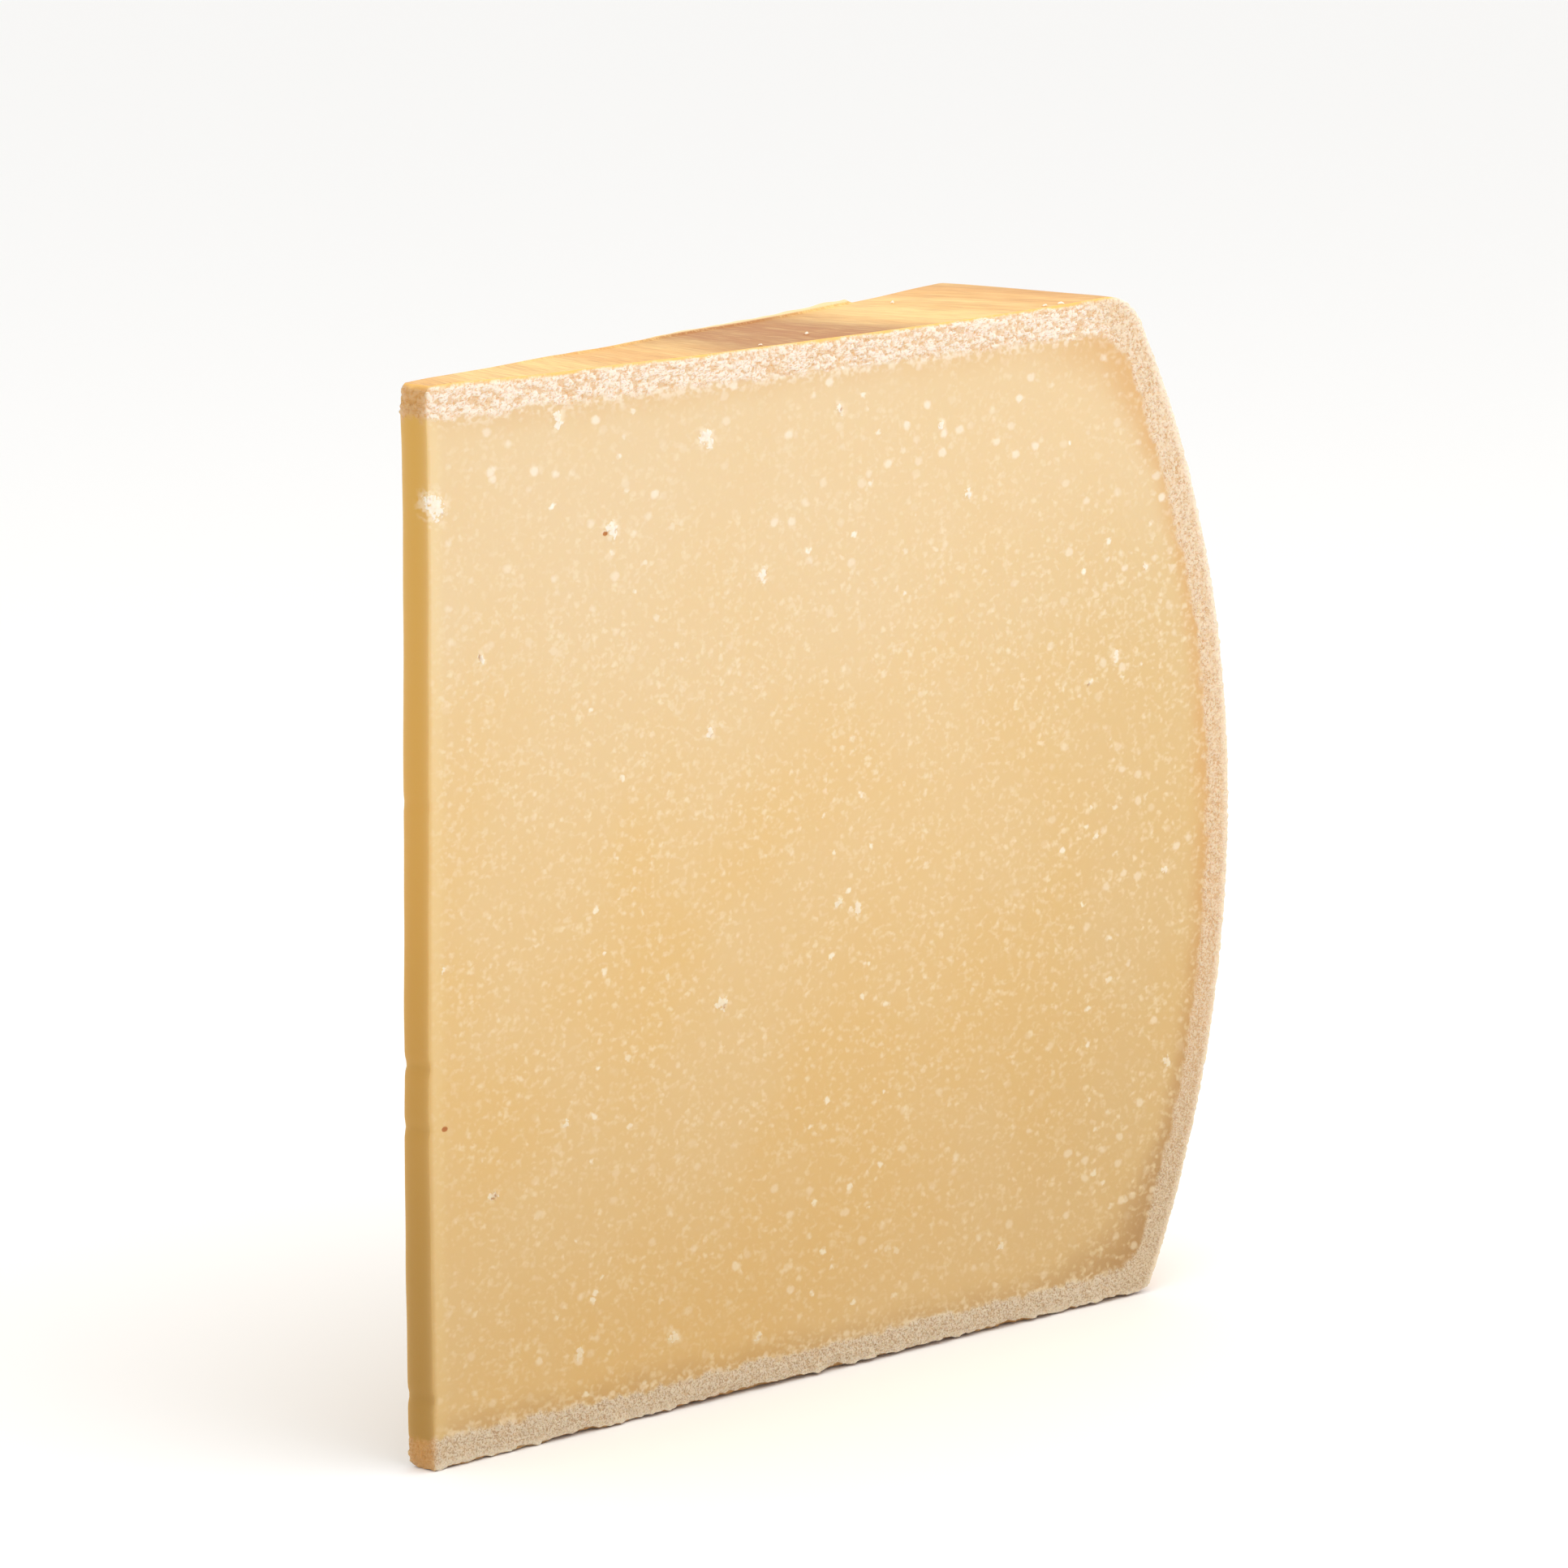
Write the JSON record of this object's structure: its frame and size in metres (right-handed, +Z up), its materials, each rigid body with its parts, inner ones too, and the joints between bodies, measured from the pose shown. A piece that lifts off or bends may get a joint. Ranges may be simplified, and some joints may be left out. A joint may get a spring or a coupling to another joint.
{
  "type": "hard cheese wedge",
  "caption": "Tall thin wedge cut from a drum-shaped wheel of hard aged cheese, with a narrow tip and a curved rind heel; stands upright on its flat rind base.",
  "frame": {"origin": "middle of the box around the wedge, at the level of the flat rind base that it stands on", "axes": "+X from the narrow tip to the curved heel, +Y across the wedge from one cut face to the other, +Z up from the base to the top rind"},
  "size_m": [0.2014, 0.0466, 0.19],
  "materials": {
    "cheese": "semi-matt, slightly oily, grainy cut paste with a dry golden brown rind"
  },
  "bodies": {
    "root": {"cheese_wedge": "cheese"}
  },
  "joints": []
}
